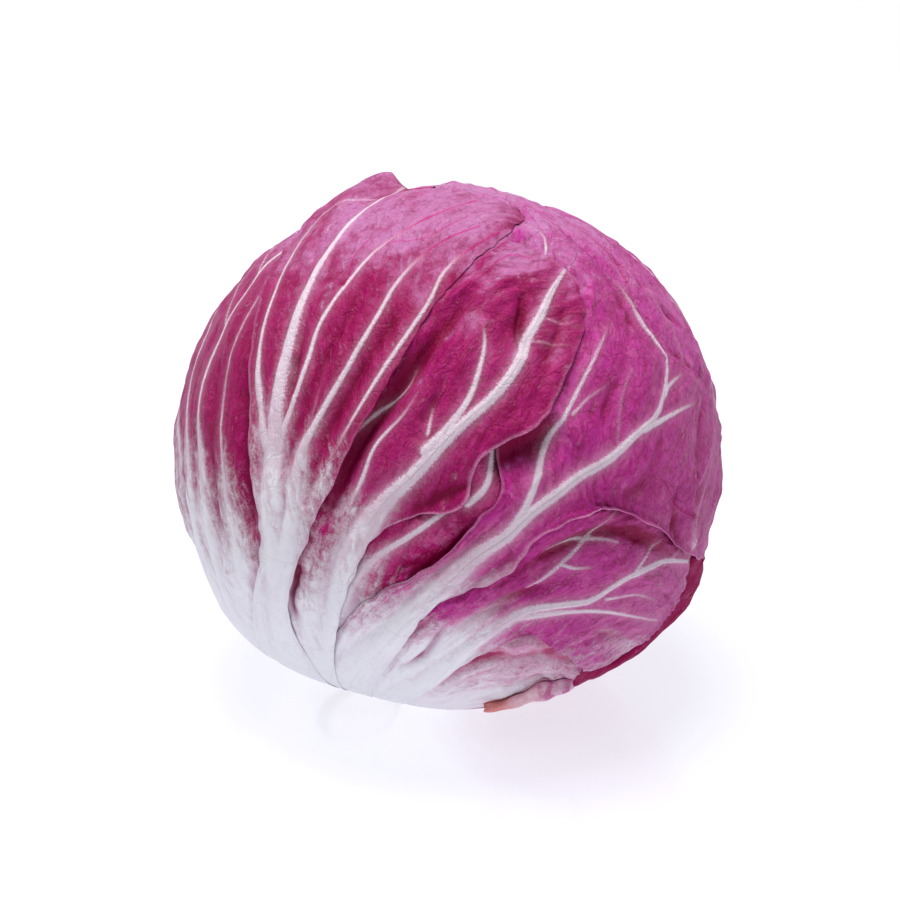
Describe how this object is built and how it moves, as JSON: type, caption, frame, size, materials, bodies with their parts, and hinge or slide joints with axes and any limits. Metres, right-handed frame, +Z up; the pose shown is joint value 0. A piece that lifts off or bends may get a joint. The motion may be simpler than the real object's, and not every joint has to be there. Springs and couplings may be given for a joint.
{
  "type": "radicchio head",
  "caption": "Round head of red chicory: magenta leaves with thick white branching ribs wrapped round a closed heart, lying on a small flat spot beside its cut stem.",
  "frame": {"origin": "middle of the flat spot that the head rests on, under the middle of its bounding box", "axes": "+Z up, -Y towards the side where the white ribs fan out from the stem, +X to the right of that side"},
  "size_m": [0.1196, 0.1176, 0.1145],
  "materials": {
    "leaf": "satin leaf skin, magenta blade with raised white ribs and a white foot",
    "inner_leaf": "deep crimson leaf skin, slightly moist",
    "withered_leaf": "limp pale pink leaf with a dull rust-red broken edge",
    "stem": "matt cream stem with a drier tan cut face"
  },
  "bodies": {
    "root": {"front_left_leaf": "leaf", "centre_leaf": "leaf", "right_leaf": "leaf", "lower_right_leaf": "leaf", "far_left_leaf": "leaf", "left_leaf": "leaf", "right_back_leaf": "leaf", "back_leaf": "leaf", "crown_leaf": "leaf", "centre_inner_leaf": "inner_leaf", "dark_inner_leaf": "inner_leaf", "inner_back_leaf": "inner_leaf", "inner_left_leaf": "inner_leaf", "heart": "inner_leaf", "underside_leaf": "leaf", "withered_leaf": "withered_leaf", "cut_stem": "stem"}
  },
  "joints": []
}
